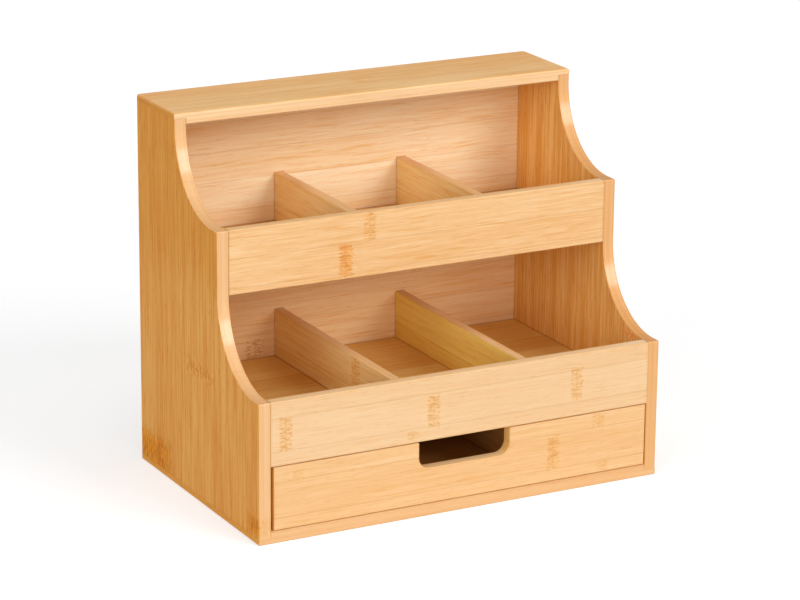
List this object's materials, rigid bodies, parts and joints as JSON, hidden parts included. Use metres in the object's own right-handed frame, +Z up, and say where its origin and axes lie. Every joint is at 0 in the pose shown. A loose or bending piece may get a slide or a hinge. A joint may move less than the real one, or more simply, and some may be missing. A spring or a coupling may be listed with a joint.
{
  "type": "tea bag drawer box",
  "caption": "Stepped bamboo tabletop box for tea bags: open compartments in two tiers with concave side profiles, above a pull-out drawer with a finger slot.",
  "frame": {"origin": "middle of the footprint, at the underside of the bottom board", "axes": "+Z up, the drawer and the open fronts face -Y, +X to the right seen from the front"},
  "size_m": [0.3, 0.188, 0.258],
  "materials": {
    "bamboo": "satin lacquered strip bamboo"
  },
  "bodies": {
    "carcass": {"left_side_panel": "bamboo", "right_side_panel": "bamboo", "top_board": "bamboo", "bottom_board": "bamboo", "back_panel": "bamboo", "upper_shelf": "bamboo", "lower_shelf": "bamboo", "upper_front_board": "bamboo", "lower_front_board": "bamboo", "upper_left_divider": "bamboo", "upper_right_divider": "bamboo", "lower_left_divider": "bamboo", "lower_right_divider": "bamboo"},
    "drawer": {"drawer_front": "bamboo", "drawer_left_side": "bamboo", "drawer_right_side": "bamboo", "drawer_back": "bamboo", "drawer_bottom": "bamboo", "drawer_left_divider": "bamboo", "drawer_right_divider": "bamboo"}
  },
  "joints": [
    {"name": "drawer_slide", "type": "slide", "parent": "carcass", "child": "drawer", "axis": [0, -1, 0], "range_m": [0, 0.13]}
  ]
}
